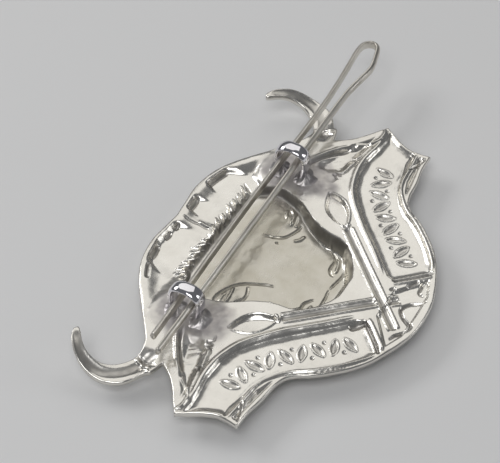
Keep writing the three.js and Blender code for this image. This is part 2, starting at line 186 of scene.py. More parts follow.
# ---- lines struck into the back: (points, half width, height) ------------------------------------------
BOTH_SIDES = [
    # ear
    ([(16.9, -0.9), (18.4, -1.25), (19.8, -1.9), (21.3, -2.8), (22.7, -3.8), (23.8, -4.8)], .34, -.4),
    ([(17.2, -0.4), (19.0, -0.9), (20.8, -1.9), (22.6, -3.1), (24.4, -4.6)], .4, .25),
    ([(30.0, -7.3), (29.0, -7.75), (27.5, -7.7), (26.4, -7.1), (25.7, -6.6)], .3, .3),
    ([(25.5, -7.4), (23.6, -7.1), (22.6, -6.8), (22.2, -6.1), (21.9, -6.9), (20.4, -6.6), (19.0, -6.3),
      (18.6, -5.4), (18.3, -6.1), (18.0, -5.2), (17.5, -5.9), (16.4, -5.6)], .22, -.32),
    ([(24.8, -5.2), (25.6, -6.2), (26.4, -7.2)], .3, .25),
    # blade: the lens has a raised line round it, and a socket where the shaft starts
    ([(9.7, -11.5), (10.1, -9.9), (11.0, -8.3), (12.3, -7.1), (14.6, -6.3)], .26, .24),
    ([(9.9, -11.6), (11.5, -11.2), (13.1, -10.2), (14.2, -8.8), (14.7, -6.6)], .26, .24),
    ([(9.4, -10.9), (10.4, -12.0)], .3, .35),
    # rolled edges of the ribbon
    ([(29.9, -8.0), (26, -8.0), (23, -7.6), (20, -7.8), (16.8, -8.8), (14.6, -10.2), (12.6, -12.0),
      (10.6, -13.9), (7.6, -17.1), (4.2, -20.4)], .55, .3),
    ([(8.7, -25.9), (10.3, -24.9), (12.4, -23.1), (14.4, -21.0), (15.8, -19.2), (16.8, -17.7), (18.4, -16.2),
      (20.2, -15.0), (22.2, -14.5), (25, -14.3), (27.6, -14.0)], .3, .3),
    ([(9.2, -24.6), (11.6, -22.8), (13.5, -20.8), (14.9, -19.1), (15.9, -17.6), (17.6, -16.0), (19.7, -14.7),
      (21.8, -14.0), (24.8, -13.7)], .2, -.12),
    ([(27.7, -13.5), (26, -13.3), (24.6, -13.6), (23.4, -13.9)], .25, -.3),
    ([(27.6, -15.4), (26.4, -15.1), (25.2, -14.7), (24.3, -14.3)], .22, -.28),
    # ends of the two arms of the ribbon
    ([(4.1, -21.9), (5.4, -23.3), (7.2, -25.2), (8.3, -26.2)], .32, -.55),
    ([(3.5, -22.3), (4.8, -23.7), (6.5, -25.5), (7.5, -26.5)], .3, .2),
]
LEFT_ONLY = [
    # eye: upper lid, cheek line, lower lid, fold below
    ([(-11.0, -1.7), (-9.3, -1.4), (-6.8, -2.3), (-5.1, -3.8), (-3.8, -6.1), (-3.3, -7.3)], .2, -.2),
    ([(-10.7, -2.0), (-9.6, -3.0), (-7.8, -2.9), (-6.6, -2.6)], .24, .22),
    ([(-10.2, -2.3), (-9.2, -2.1), (-8.0, -2.3)], .2, .18),
    ([(-9.3, -4.1), (-7.3, -4.9), (-5.3, -4.2)], .2, -.2),
    ([(-9.9, -4.6), (-8.9, -5.6), (-7.6, -6.2)], .35, .16),
    ([(-7.9, -9.0), (-6.9, -9.6), (-6.6, -10.6)], .4, .3),
    ([(-6.6, -11.2), (-5.6, -11.6), (-4.8, -12.3), (-3.8, -12.3), (-2.4, -13.2)], .22, -.28),
    ([(-6.3, -12.2), (-5.0, -13.2), (-3.6, -13.5)], .28, .24),
    ([(-4.9, -14.2), (-3.2, -14.5), (-1.4, -14.4), (0.2, -14.1)], .2, -.24),
    ([(-5.2, -26.2), (-4.2, -26.5), (-3.4, -27.2), (-2.5, -27.8), (-1.8, -27.8), (-1.4, -27.1), (-1.0, -26.4),
      (-.3, -25.6), (.6, -25.2), (1.4, -25.6), (2.0, -26.2), (2.6, -27.1), (3.1, -27.8)], .28, -.42),
    ([(-6.1, -20.6), (-5.2, -21.4), (-4.2, -22.3)], .6, -.35),
]
RIGHT_ONLY = [
    ([(3.8, -1.3), (4.4, -3.0), (5.2, -4.2), (7.2, -5.1), (8.4, -5.2)], .2, -.2),
    ([(7.4, -3.8), (8.6, -3.7), (9.5, -3.3), (10.1, -2.5)], .24, .24),
    ([(8.2, -2.9), (8.9, -2.4), (9.7, -2.1)], .22, .2),
    ([(7.6, -4.6), (8.8, -4.5), (9.7, -4.0)], .26, .2),
    ([(5.2, -5.6), (5.9, -6.3), (6.8, -6.6)], .3, .14),
    ([(7.4, -9.0), (6.9, -10.0), (7.1, -10.6)], .3, .26),
    ([(2.6, -13.5), (2.9, -12.9), (3.7, -12.4), (5.6, -12.3), (6.5, -11.3), (7.1, -10.7)], .2, -.28),
    ([(3.2, -13.5), (4.6, -13.2), (5.8, -12.7)], .28, .24),
    ([(0.2, -14.1), (1.8, -14.4), (3.4, -14.6), (4.8, -14.3), (5.7, -13.7)], .2, -.24),
    ([(3.55, -3.7), (3.75, -3.75)], .22, -.3),
    ([(4.0, -26.8), (4.2, -26.1), (5.0, -25.9), (6.1, -25.8)], .24, -.3),
    ([(2.4, -22.4), (3.1, -23.0)], .3, -.3),
    ([(4.2, -24.2), (5.0, -24.7), (5.8, -25.2)], .3, -.3),
]
SHAFT_START, SHAFT_END = np.array([9.7, -11.8]), np.array([-3.4, -26.1])
SHAFT_CROSSING = 14.6
HORN_LINE = spline([(22.5, 0.1), (24.4, 0.2), (26.4, 1.1), (28.2, 2.6), (29.3, 4.7), (29.3, 6.8), (28.5, 8.6),
                    (27.2, 9.9), (26.1, 10.6)], 5)
HORN_RING = [([(25.1, 1.8), (25.7, 0.4), (26.0, -1.0)], .3, .28),
             ([(24.6, 1.7), (24.9, 0.4), (25.1, -1.3)], .25, -.2)]
LOCKS = 6  # to each side of the middle one
LOCK_PITCH = 1.45
LOCK_ROOT = 4.15
PARTING = [([(0.3, 9.9), (0.1, 8.6), (0.3, 7.0), (0.0, 5.4)], .26, -.14),
           ([(0.7, 7.4), (0.45, 6.2), (0.5, 5.2)], .3, .2)]
# nicks along the crown, and the line they follow
NICKS = [(-12.4, -9.8), (-8.6, -6.2), (-4.6, -3.2), (-2.4, -1.2), (2.0, 4.6), (7.4, 11.2)]
NICK_X = [0, 3, 6, 9, 11, 13]
NICK_Y = [9.6, 9.8, 10.05, 9.6, 8.9, 7.7]
LEAF_PATH = [(22.4, -11.3), (17.6, -12.9), (13.2, -16.9), (8.4, -22)]
LEAVES = 9
LEAF_LENGTH = 3.0
LEAF_WIDTH = 1.1
LEAF_LEAN = math.radians(24)
BEAD_OFF = 1.05


def hash_noise(x, y, seed):
    """Smooth value noise of unit pitch, about -1 to 1."""
    xi, yi = np.floor(x).astype(np.int64), np.floor(y).astype(np.int64)
    u, v = x - xi, y - yi
    u, v = u * u * (3 - 2 * u), v * v * (3 - 2 * v)

    def corner(i, j):
        k = (i * 374761393 + j * 668265263 + seed * 2246822519) & 0xFFFFFFFF
        k = ((k ^ (k >> 13)) * 1274126177) & 0xFFFFFFFF
        return ((k ^ (k >> 16)) & 0xFFFF) / 32767.5 - 1

    a, b, c, d = corner(xi, yi), corner(xi + 1, yi), corner(xi, yi + 1), corner(xi + 1, yi + 1)
    return (a * (1 - u) + b * u) * (1 - v) + (c * (1 - u) + d * u) * v


def mound(x, y, at, radii):
    """A rounded bump of height 1."""
    return np.exp(-(((x - at[0]) / radii[0]) ** 2 + ((y - at[1]) / radii[1]) ** 2))


def lug_seat(side, foot):
    """Where a lug's foot stands on the back."""
    return skewed([(side * LUG_REACH, foot * LUG_FOOT, 0)], LUG_SKEW)[0][:2]


SEATS = [lug_seat(side, foot) for side in (-1, 1) for foot in (-1, 1)]


# ---- broad relief of the back; xs is signed, x its distance from the middle ------------------------------
def boss_relief(xs, x, y):
    """The two lobes of the boss: nearly flat, bent up to the crown's edge, here sharply and there softly."""
    boss = depth_in(BOSS, x, y)
    sharp = np.zeros(x.shape)
    for start, full, fade, end in SHARP_BENDS:
        sharp += smooth(start, full, xs) * (1 - smooth(fade, end, xs))
    reach = SOFT_BEND + (SHARP_BEND - SOFT_BEND) * np.clip(sharp, 0, 1)
    depth = BOSS_DEPTH - 0.2 * (1 - smooth(0.2, 1.6, x)) - 0.12 * smooth(6.5, 4.5, y)
    return -np.where(boss > 0, depth * smooth(-0.25, reach, boss), 0) * smooth(0, 0.3, boss)


def face_relief(x, y):
    """A steep wall and a floor that sinks gently to the muzzle."""
    face = depth_in(FACE, x, y)
    deep = FACE_WALL + (RELIEF - FACE_WALL) * smooth(BROW_LEVEL, MUZZLE_LEVEL, y)
    lip = smooth(-13.0, -14.6, y) * (1 - smooth(0.7, 1.4, face))
    wall = smooth(0, 0.55 + 0.35 * smooth(-3, -11, y), face) * (1 - 0.28 * lip)
    bridge = 0.15 * np.exp(-((x / 2.4) ** 2)) * smooth(-10.5, -6, y) * (1 - smooth(-2, 3, y))
    cheek = -0.2 * mound(x, y, (6.4, -7.6), (1.7, 2.4))
    socket = 0.3 * mound(x, y, (8.4, -3.4), (1.5, 1.0))
    floor = wall * (deep + bridge + cheek - socket)
    return -np.where(face > 0, np.minimum(floor, RELIEF), 0)


def ribbon_relief(x, y):
    """One arm of the ribbon, sunk with a soft wall and slightly sagging across."""
    ribbon = depth_in(RIBBON, x, y)
    sag = 0.12 * np.sin(np.clip(ribbon, 0, RIBBON_HALF) / RIBBON_HALF * math.pi / 2)
    return -RIBBON_DEPTH * (0.55 * smooth(0, 0.3, ribbon) + 0.45 * smooth(0, 1.1, ribbon)) - sag


def blade_relief(x, y):
    """The pointed oval of a spear's blade."""
    u, v = x - BLADE["x"], y - BLADE["y"]
    c, s = math.cos(BLADE["angle"]), math.sin(BLADE["angle"])
    along, across = u * c + v * s, v * c - u * s
    edge = BLADE["half_width"] * (1 - (along / BLADE["half_length"]) ** 2) - np.abs(across)
    return -BLADE_DEPTH * smooth(0, 0.4, edge) * (np.abs(along) < BLADE["half_length"])


def broad_relief(xs, y):
    """Height of the back over its flat ground: the sunk areas, and the horns that rise to their tips."""
    x = np.abs(xs)
    h = np.minimum(0, boss_relief(xs, x, y))
    for relief in (face_relief, ribbon_relief, blade_relief):
        h = np.minimum(h, relief(x, y))
    for loop, depth, wall in ((FOLD, 0.5, 0.4), (EAR, 0.7, 1.5), (TAIL, 0.5, 0.35)):
        h = np.minimum(h, -depth * smooth(0, wall, depth_in(loop, x, y)))
    horn = smooth(22.5, 25.5, x) * smooth(-1.6, 1, y)
    return h + horn * (HORN_RISE * smooth(3.5, 11, y) - HORN_DIP)


# ---- fine relief: lines, hair, ornament and the metal's unevenness ---------------------------------------
def strokes(h, x, y, lines):
    """Adds tapered lines, each given by its points, half width and height, to the heights h."""
    for points, width, height in lines:
        path = spline(points, 4)
        lo, hi = path.min(0) - width * 2, path.max(0) + width * 2
        near = (x > lo[0]) & (x < hi[0]) & (y > lo[1]) & (y < hi[1])
        if not near.any():
            continue
        r, t = distance(path, x[near], y[near])
        taper = np.clip(np.minimum(t, 1 - t) / 0.16, 0, 1) ** 0.5
        bump = np.clip(1 - (r / width / (0.35 + 0.65 * taper)) ** 2, 0, 1) ** 1.5
        h[near] += height * taper * bump


def horn_hollow(x, y):
    """The groove along the back of a horn."""
    h = np.zeros(x.shape)
    near = (x > 21.5) & (y > -2.5)
    r, t = distance(HORN_LINE, x[near], y[near])
    h[near] = -0.2 * np.clip(1 - (r / 0.85) ** 2, 0, 1) * smooth(0.02, 0.12, t) * (1 - smooth(0.86, 0.98, t))
    return h


def spear_shafts(xs, y):
    """Shallow grooves with a raised line on each side, the right one over the left one."""
    h = np.zeros(xs.shape)
    span = np.linalg.norm(SHAFT_END - SHAFT_START)
    d = (SHAFT_END - SHAFT_START) / span
    for side in (1, -1):
        u, v = xs * side - SHAFT_START[0], y - SHAFT_START[1]
        along, off = u * d[0] + v * d[1], v * d[0] - u * d[1]
        on = smooth(0, 0.5, along) * (1 - smooth(span - 0.5, span, along))
        if side < 0:
            on *= 1 - np.exp(-((along - SHAFT_CROSSING) / 1.1) ** 4)
            on *= 1 - smooth(16.5, 17.2, along)
        groove = np.clip(1 - (off / 0.5) ** 2, 0, 1)
        lines = np.exp(-(((np.abs(off) - 0.72) / 0.17) ** 2))
        h += on * (0.18 * lines - 0.26 * groove)
    return h


def hair_fringe(xs, y):
    """Locks between the boss and the forehead, pointing up and away from the parting."""
    h = np.zeros(xs.shape)
    for k in range(-LOCKS, LOCKS + 1):
        side = -1 if k < 0 else 1
        x0 = k * LOCK_PITCH + 0.14 * math.sin(k * 5.1)
        length = 1.95 + 0.35 * math.sin(k * 2.4)
        # each lock is a ridge with a narrower furrow beside it
        for dx, dy, width, height, shift in ((0.8, 1.0, 0.46, 0.62, 0.0), (0.75, 0.9, 0.3, -0.35, 0.72)):
            u, v = xs - x0 - side * shift, y - LOCK_ROOT
            n = math.hypot(dx, dy)
            along = (u * dx * side + v * dy) / n
            off = (-u * dy * side + v * dx) / n
            left = 1 - np.clip(along / length, 0, 1)
            section = np.clip(1 - (off / (width * left ** 0.8 + 1e-3)) ** 2, 0, 1)
            h += height * left ** 0.5 * section * smooth(-0.35, 0.0, along) * (along < length)
    return h


def crown_nicks():
    """Short nicks where the crown was bent over, as lines for strokes."""
    lines = []
    for x0, x1 in NICKS:
        mid = (x0 + x1) / 2
        y0, ym, y1 = np.interp(np.abs([x0, mid, x1]), NICK_X, NICK_Y)
        lines.append(([(x0, y0), (mid, ym - 0.1), (x1, y1)], .38, -.3))
    return lines


def ribbon_ornament(x, y):
    """Leaves that lean in turn to one side and the other, with a bead between them."""
    h = np.zeros(x.shape)
    curve = spline(LEAF_PATH, 24)
    steps = np.r_[0, np.cumsum(np.linalg.norm(np.diff(curve, axis=0), axis=1))]

    def place(s):
        return np.array([np.interp(s, steps, curve[:, c]) for c in (0, 1)])

    for n in range(LEAVES):
        s = steps[-1] * n / (LEAVES - 1)
        p, q = place(s), place(s + 0.1) - place(s - 0.1)
        turn = math.atan2(q[1], q[0]) + math.pi / 2 + LEAF_LEAN * (1 if n % 2 else -1)
        u = (x - p[0]) * math.cos(turn) + (y - p[1]) * math.sin(turn)
        v = -(x - p[0]) * math.sin(turn) + (y - p[1]) * math.cos(turn)
        leaf = LEAF_WIDTH / 2 * (1 - (u / (LEAF_LENGTH / 2)) ** 2) - np.abs(v)
        near = np.abs(u) < LEAF_LENGTH / 2
        ring = np.exp(-((leaf / 0.13) ** 2)) * near
        rib = np.exp(-((v / 0.1) ** 2)) * (np.abs(u) < 1.15)
        h += 0.18 * ring - 0.2 * smooth(0, 0.25, leaf) * near + 0.12 * rib
        if n < LEAVES - 1:
            sideways = np.array([-q[1], q[0]]) / np.linalg.norm(q) * (BEAD_OFF if n % 2 else -BEAD_OFF)
            c = place(steps[-1] * (n + 0.5) / (LEAVES - 1)) + sideways
            r = np.hypot(x - c[0], y - c[1])
            h -= 0.22 * np.clip(1 - (r / 0.3) ** 2, 0, 1) ** 1.2
    return h


def unevenness(xs, y):
    """A struck sheet is never quite even: waves, solder dragged round the lugs, fur left by the die."""
    h = 0.06 * hash_noise(xs / 3.1, y / 3.1, 3) + 0.022 * hash_noise(xs / 1.2, y / 1.2, 5)
    h += 0.010 * hash_noise(xs / 0.55 + 9, y / 0.55, 11)
    run = np.zeros(xs.shape)
    for sx, sy in SEATS:
        lower = 0.8 if sy < 0 else 0
        run = np.maximum(run, 1 - smooth(1.5, 4.4, np.hypot((xs - sx) / 1.1, y - sy + lower)))
    h += run * (0.07 * hash_noise(xs / 0.8, y / 0.8, 31) + 0.05 * hash_noise(xs / 0.4, y / 0.4, 37))
    x = np.abs(xs)
    fur = smooth(-1.0, -2.5, y) * (1 - smooth(-5.5, -7.5, y)) * smooth(13, 16, x) * (1 - smooth(22, 26, x))
    return h + 0.04 * fur * hash_noise((xs + y * 0.8) / 0.35, (y - x * 0.3) / 1.3, 17)


def fine_relief(xs, y):
    """Everything small that is added to the broad relief, on both faces of the sheet."""
    x = np.abs(xs)
    h = horn_hollow(x, y)
    strokes(h, x, y, BOTH_SIDES + HORN_RING)
    strokes(h, xs, y, LEFT_ONLY + RIGHT_ONLY + PARTING + crown_nicks())
    return h + spear_shafts(xs, y) + hair_fringe(xs, y) + ribbon_ornament(x, y) + unevenness(xs, y)


def seat_fade(x, y):
    """1 on the open back, 0 under the lugs' feet, where the back is left flat."""
    keep = np.ones(x.shape)
    for sx, sy in SEATS:
        keep *= smooth(2.4, 4.2, np.hypot(x - sx, y - sy))
    return keep


# ---- the plate's mesh ------------------------------------------------------------------------------------
def outline_loop(spacing):
    """The whole outline, evenly stepped, with its corners kept."""
    out = []
    for run in OUTLINE_RUNS:
        c = spline(run, 40)
        steps = np.r_[0, np.cumsum(np.linalg.norm(np.diff(c, axis=0), axis=1))]
        n = max(2, int(round(steps[-1] / spacing)))
        s = np.linspace(0, steps[-1], n + 1)[:-1]
        out.append(np.stack([np.interp(s, steps, c[:, 0]), np.interp(s, steps, c[:, 1])], -1))
    half = np.concatenate(out + [np.array([OUTLINE_RUNS[-1][-1]], float)])
    other = half[1:-1][::-1] * [-1, 1]
    return np.concatenate([half, other])[::-1]  # counter-clockwise


def front_grid():
    """A grid of the front's heights over the ground: the back moved out by the sheet's thickness."""
    pitch = 0.15
    gx = np.arange(-33, 33 + pitch / 2, pitch)
    gy = np.arange(-31, 13 + pitch / 2, pitch)
    X, Y = np.meshgrid(gx, gy)
    broad = (broad_relief(X.ravel(), Y.ravel()) * seat_fade(X.ravel(), Y.ravel())).reshape(X.shape)
    front = np.full(broad.shape, 1e9)
    n = int(SHEET / pitch)
    for dj in range(-n, n + 1):
        for di in range(-n, n + 1):
            r2 = (di * di + dj * dj) * pitch * pitch
            if r2 < SHEET**2:
                front = np.minimum(front, np.roll(broad, (dj, di), (0, 1)) - math.sqrt(SHEET**2 - r2))
    return gx, gy, front


def grid_sample(gx, gy, grid, x, y):
    """Heights at the points, read from the grid."""
    i = np.clip((x - gx[0]) / (gx[1] - gx[0]), 0, len(gx) - 1.001)
    j = np.clip((y - gy[0]) / (gy[1] - gy[0]), 0, len(gy) - 1.001)
    i0, j0 = i.astype(int), j.astype(int)
    u, v = i - i0, j - j0
    low = grid[j0, i0] * (1 - u) + grid[j0, i0 + 1] * u
    high = grid[j0 + 1, i0] * (1 - u) + grid[j0 + 1, i0 + 1] * u
    return low * (1 - v) + high * v


def fill_outline(loop, pitch, insets, finer=None):
    """Triangles over the outline: the loop, rings inset from it, and a staggered grid of points inside.

    The grid is finer in the box finer: its left, right, lower and upper side. The third result gives each
    point's place in the loop, or a higher or negative number inside it.
    """
    tangent = np.roll(loop, -1, 0) - np.roll(loop, 1, 0)
    normal = np.stack([-tangent[:, 1], tangent[:, 0]], -1)
    normal /= np.linalg.norm(normal, axis=1)[:, None]
    points = [loop]
    for inset in insets:
        ring = loop + normal * inset
        r, _ = distance(loop, ring[:, 0], ring[:, 1], True)
        points.append(ring[(r > inset * 0.93) & inside(loop, ring[:, 0], ring[:, 1])])
    rows = np.arange(loop[:, 1].min(), loop[:, 1].max(), pitch * 0.866)
    grid = []
    for k, yy in enumerate(rows):
        xx = np.arange(loop[:, 0].min() + (k % 2) * pitch / 2, loop[:, 0].max(), pitch)
        grid.append(np.stack([xx, np.full(xx.shape, yy)], -1))
    grid = np.concatenate(grid)
    grid = grid[inside(loop, grid[:, 0], grid[:, 1])]
    if finer is not None:
        x0, x1, y0, y1 = finer
        coarse = (grid[:, 0] > x0) & (grid[:, 0] < x1) & (grid[:, 1] > y0) & (grid[:, 1] < y1)
        fx, fy = np.meshgrid(np.arange(x0, x1, pitch * 0.6), np.arange(y0, y1, pitch * 0.6))
        fx = fx + (np.arange(fx.shape[0]) % 2)[:, None] * pitch * 0.3
        grid = np.concatenate([grid[~coarse], np.stack([fx.ravel(), fy.ravel()], -1)])
    r, _ = distance(loop, grid[:, 0], grid[:, 1], True)
    grid = grid[r > insets[-1] + pitch * 0.6]
    points.append(grid)
    pts = np.concatenate(points)
    pts[:, 0] = np.clip(pts[:, 0], -OUTLINE_HALF_WIDTH, OUTLINE_HALF_WIDTH)
    n = len(loop)
    edges = [(i, (i + 1) % n) for i in range(n)]
    v, _, f, vo, _, _ = delaunay_2d_cdt([Vector(p) for p in pts], edges, [], 1, 1e-7)
    v = np.array([(p.x, p.y) for p in v])
    origin = [(o[0] if o else -1) for o in vo]
    return v, [tuple(t) for t in f], origin


def mark(mesh, name, values):
    """Gives the mesh a value at each point, which its material reads."""
    layer = mesh.attributes.new(name, "FLOAT", "POINT")
    layer.data.foreach_set("value", np.clip(values, 0, 1).astype(np.float32))


def solder_stain(x, y):
    """How stained each place is by the heat of the soldering, 0 to 1."""
    stain = np.zeros(len(x))
    for sx, sy in SEATS:
        shift, stretch = (1.0, 1.25) if sy < 0 else (0, 1.0)
        d = np.hypot((x - sx) / 1.1, (y - sy + shift) / stretch)
        d = d + 0.9 * hash_noise(x / 1.7, y / 1.7, 23) + 0.4 * hash_noise(x / 0.7, y / 0.7, 29)
        stain = np.maximum(stain, 1 - smooth(2.0, 4.6, d))
    return stain


def back_heights(loop, x, y):
    """Heights of the sheet's back over the table."""
    keep = seat_fade(x, y)
    r, _ = distance(loop, x, y, True)
    broad = broad_relief(x, y) * keep
    # the fine lines die out at the cut edge, which is worn round, and rolled a little along the crown
    fine = fine_relief(x, y) * (0.25 + 0.75 * keep) * smooth(0.0, 0.35, r)
    worn = 0.16 * (1 - np.sqrt(np.clip(1 - (1 - np.clip(r / 0.22, 0, 1)) ** 2, 0, 1)))
    roll = 0.22 * (1 - smooth(0, 1.3, r)) * smooth(2.5, 5.0, y) * (1 - smooth(17, 20, np.abs(x)))
    return GROUND + broad + fine - worn - roll


def front_heights(loop, x, y):
    """Heights of the sheet's front over the table, which its lowest flat lies on."""
    r, _ = distance(loop, x, y, True)
    roll_in = 0.22 * (1 - np.sqrt(np.clip(1 - (1 - np.clip(r / 0.3, 0, 1)) ** 2, 0, 1)))
    fine = fine_relief(x, y) * smooth(0, 0.35, r) * 1.1
    return np.maximum(GROUND + grid_sample(*front_grid(), x, y) + fine + roll_in, 0)


def make_plate():
    loop = outline_loop(OUTLINE_STEP)
    pitch = PLATE_PITCH
    back, back_faces, back_origin = fill_outline(loop, pitch, (0.1, 0.22), HAIR_STRIP)
    front, front_faces, front_origin = fill_outline(loop, max(0.26, pitch), (0.15,))
    verts = np.concatenate([np.column_stack([back, back_heights(loop, *back.T)]),
                            np.column_stack([front, front_heights(loop, *front.T)])])

    nb, n = len(back), len(loop)
    faces = list(back_faces) + [tuple(nb + i for i in reversed(t)) for t in front_faces]
    back_at = {o: i for i, o in enumerate(back_origin) if 0 <= o < n}
    front_at = {o: nb + i for i, o in enumerate(front_origin) if 0 <= o < n}
    for a in range(n):
        b = (a + 1) % n
        faces.append((front_at[a], front_at[b], back_at[b], back_at[a]))
    mesh = mesh_of("plate", verts, faces)
    mesh.validate()

    # how deep each place lies in a line or a corner, with painted shade on the face's steep wall, how stained
    # it is, and how far inside the face
    x, y = verts[:, 0], verts[:, 1]
    face = depth_in(FACE, np.abs(x), y)
    wall = smooth(-0.02, 0.08, face) * (1 - smooth(0.42, 0.8, face))
    stain = solder_stain(x, y)
    stain[nb:] = 0
    # darker in the struck lines, plus painted shade on the steep wall of the face, standing in for the dark
    # surroundings it reflects
    mark(mesh, "dark_lines_wall_shade", np.clip((-fine_relief(x, y) - 0.03) / 0.25, 0, 1) * 0.85 + 0.8 * wall)
    mark(mesh, "stain", stain)
    mark(mesh, "hollow", smooth(0.2, 2.2, face))
    return mesh


# ---- swept wires -------------------------------------------------------------------------------------------
def resample(path, n):
    """The same line with n evenly spaced points."""
    steps = np.r_[0, np.cumsum(np.linalg.norm(np.diff(path, axis=0), axis=1))]
    s = np.linspace(0, steps[-1], n)
    return np.stack([np.interp(s, steps, path[:, k]) for k in range(path.shape[1])], -1)


def sideways(path):
    """Unit directions across a flat line."""
    tangent = np.gradient(path, axis=0)
    tangent /= np.linalg.norm(tangent, axis=1)[:, None]
    return np.stack([-tangent[:, 1], tangent[:, 0]], -1)


def tube(rings):
    """Mesh data from equal rings of points, closed at both ends."""
    n, m = len(rings), len(rings[0])
    verts = np.concatenate(rings)
    faces = []
    for k in range(n - 1):
        for i in range(m):
            a, b = k * m + i, k * m + (i + 1) % m
            faces.append((a, b, b + m, a + m))
    faces.append(tuple(range(m))[::-1])
    faces.append(tuple((n - 1) * m + i for i in range(m)))
    return verts, faces


def mesh_of(name, verts, faces):
    """A mesh in the frame's metres."""
    mesh = bpy.data.meshes.new(name)
    mesh.from_pydata([tuple(p) for p in to_frame(verts)], [], faces)
    return mesh


def add_piece(name, mesh, material, body, stands_for):
    """Links the piece, with its normals outward, and says what it rides on and which node it stands for."""
    bm = bmesh.new()
    bm.from_mesh(mesh)
    bmesh.ops.recalc_face_normals(bm, faces=bm.faces)
    bm.to_mesh(mesh)
    bm.free()
    for p in mesh.polygons:
        p.use_smooth = True
    ob = bpy.data.objects.new(name, mesh)
    bpy.context.scene.collection.objects.link(ob)
    mesh.materials.append(material)
    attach(ob, body)
    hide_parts(stands_for)


# the pin's bent wire, its inner line: (along the pin, across it)
UPPER_LEG = [(-23, 0.62), (-15, 0.7), (-5, 0.84), (5, 0.87), (12, 0.82), (20, 0.64), (27, 0.62), (32, 0.82),
             (36, 1.1), (39.5, 1.4), (41.3, 1.35), (42.1, 0.85)]
LOOP_TOP = (42.35, 0.1)
LOWER_LEG = [(41.8, -0.55), (40, -1.1), (38.2, -1.5), (36.8, -1.6), (34, -1.2), (31, -0.84), (27, -0.74),
             (20, -0.74), (12, -0.84), (5, -0.87), (-5, -0.86), (-15, -0.78), (-25, -0.7)]
PIN_STEPS = 520
# the flat side of the wire, its two edges slightly rounded: (outward, height)
FLAT_SIDE = [(0.045, -0.655), (0.012, -0.62), (0.0, -0.5), (0.0, -0.2), (0.0, 0.2), (0.0, 0.5), (0.012, 0.62),
             (0.045, 0.655)]
PIN_MIDDLE = 0.28


def make_pin():
    """Half-round wire with its flat side inward, bent into a loop with two legs that end slightly rounded."""
    path = resample(spline(UPPER_LEG + [LOOP_TOP] + LOWER_LEG, 24), PIN_STEPS)
    out = sideways(path)
    angles = math.radians(8) + np.linspace(0, math.radians(164), 17)
    section = np.concatenate([PIN_RADIUS * np.stack([np.sin(angles), np.cos(angles)], -1), FLAT_SIDE])
    rings = []
    for k in range(PIN_STEPS):
        from_end = min(k, PIN_STEPS - 1 - k)
        shrink = 1 - 0.10 * (1 - min(from_end / 1.5, 1)) ** 2
        wobble = 1 + 0.012 * math.sin(k * 0.37) + 0.008 * math.sin(k * 1.31 + 2)
        off = PIN_MIDDLE + (section[:, 0] * wobble - PIN_MIDDLE) * shrink
        at = path[k] + out[k] * off[:, None]
        rings.append(skewed(np.column_stack([at, section[:, 1] * shrink + PIN_HEIGHT]), SKEW))
    return tube(rings)


def make_lug(side):
    """An oval band bent into a loop, flatter inside than outside and a little dented."""
    half = np.array(LUG_LINE)
    path = resample(spline(np.concatenate([half * [-1, 1], half[:-1][::-1]]), 8), 120)
    out = sideways(path)
    rings = []
    for k, (point, away) in enumerate(zip(path, out)):
        t = k / (len(path) - 1)
        swell = 1 + 0.03 * math.sin(t * math.pi * 3 + side) + 0.08 * math.exp(-((min(t, 1 - t) / 0.05) ** 2))
        ring = []
        for a in np.arange(32) / 32 * 2 * math.pi:
            w = LUG_WIDTH / 2 * np.sign(math.cos(a)) * abs(math.cos(a)) ** 0.85 * swell
            r = LUG_WALL / 2 * math.sin(a) * (0.96 if math.sin(a) < 0 else 1.0)
            r += 0.015 * math.sin(5 * a + t * 17 + side * 2) * math.sin(t * 23)
            ring.append((side * LUG_REACH + w, *(point + away * r)))
        rings.append(skewed(ring, LUG_SKEW))
    return tube(rings)


def make_solder(side, foot):
    """Solder that has run out thin and uneven round a foot, further to the outside."""
    seed = 40 + side * 3 + foot * 7
    turns, levels = 96, 30
    angles = np.arange(turns) / turns * 2 * math.pi
    ca, sa = np.cos(angles), np.sin(angles)
    inner_x, inner_y = LUG_WIDTH / 2 - 0.06, LUG_WALL / 2 - 0.08
    lobe = hash_noise(ca * 1.3 + seed, sa * 1.3, seed)
    spread_x = 2.05 + 0.28 * lobe
    spread_y = 1.5 + (0.85 if foot < 0 else 0.45) * np.maximum(0, sa * foot) + 0.22 * lobe
    rings = []
    for t in np.arange(levels + 1) / levels:
        ripple = hash_noise(ca * 3.6 + seed, sa * 3.6 + t * 2.5, seed)
        run = (1 - t) ** 1.7
        rx, ry = inner_x + (spread_x - inner_x) * run, inner_y + (spread_y - inner_y) * run
        r = 1 / np.hypot(ca / rx, sa / ry)
        z = -0.07 + 1.3 * t ** 1.6 * (1 + 0.2 * lobe) + 0.10 * (ripple + 0.6) * math.sin(t * math.pi) ** 0.7
        y = foot * np.maximum(foot * (foot * (LUG_FOOT + 0.13 * t) + r * sa), 0.12)
        rings.append(skewed(np.stack([side * LUG_REACH + r * ca, y, z], -1), LUG_SKEW))
    return tube(rings)


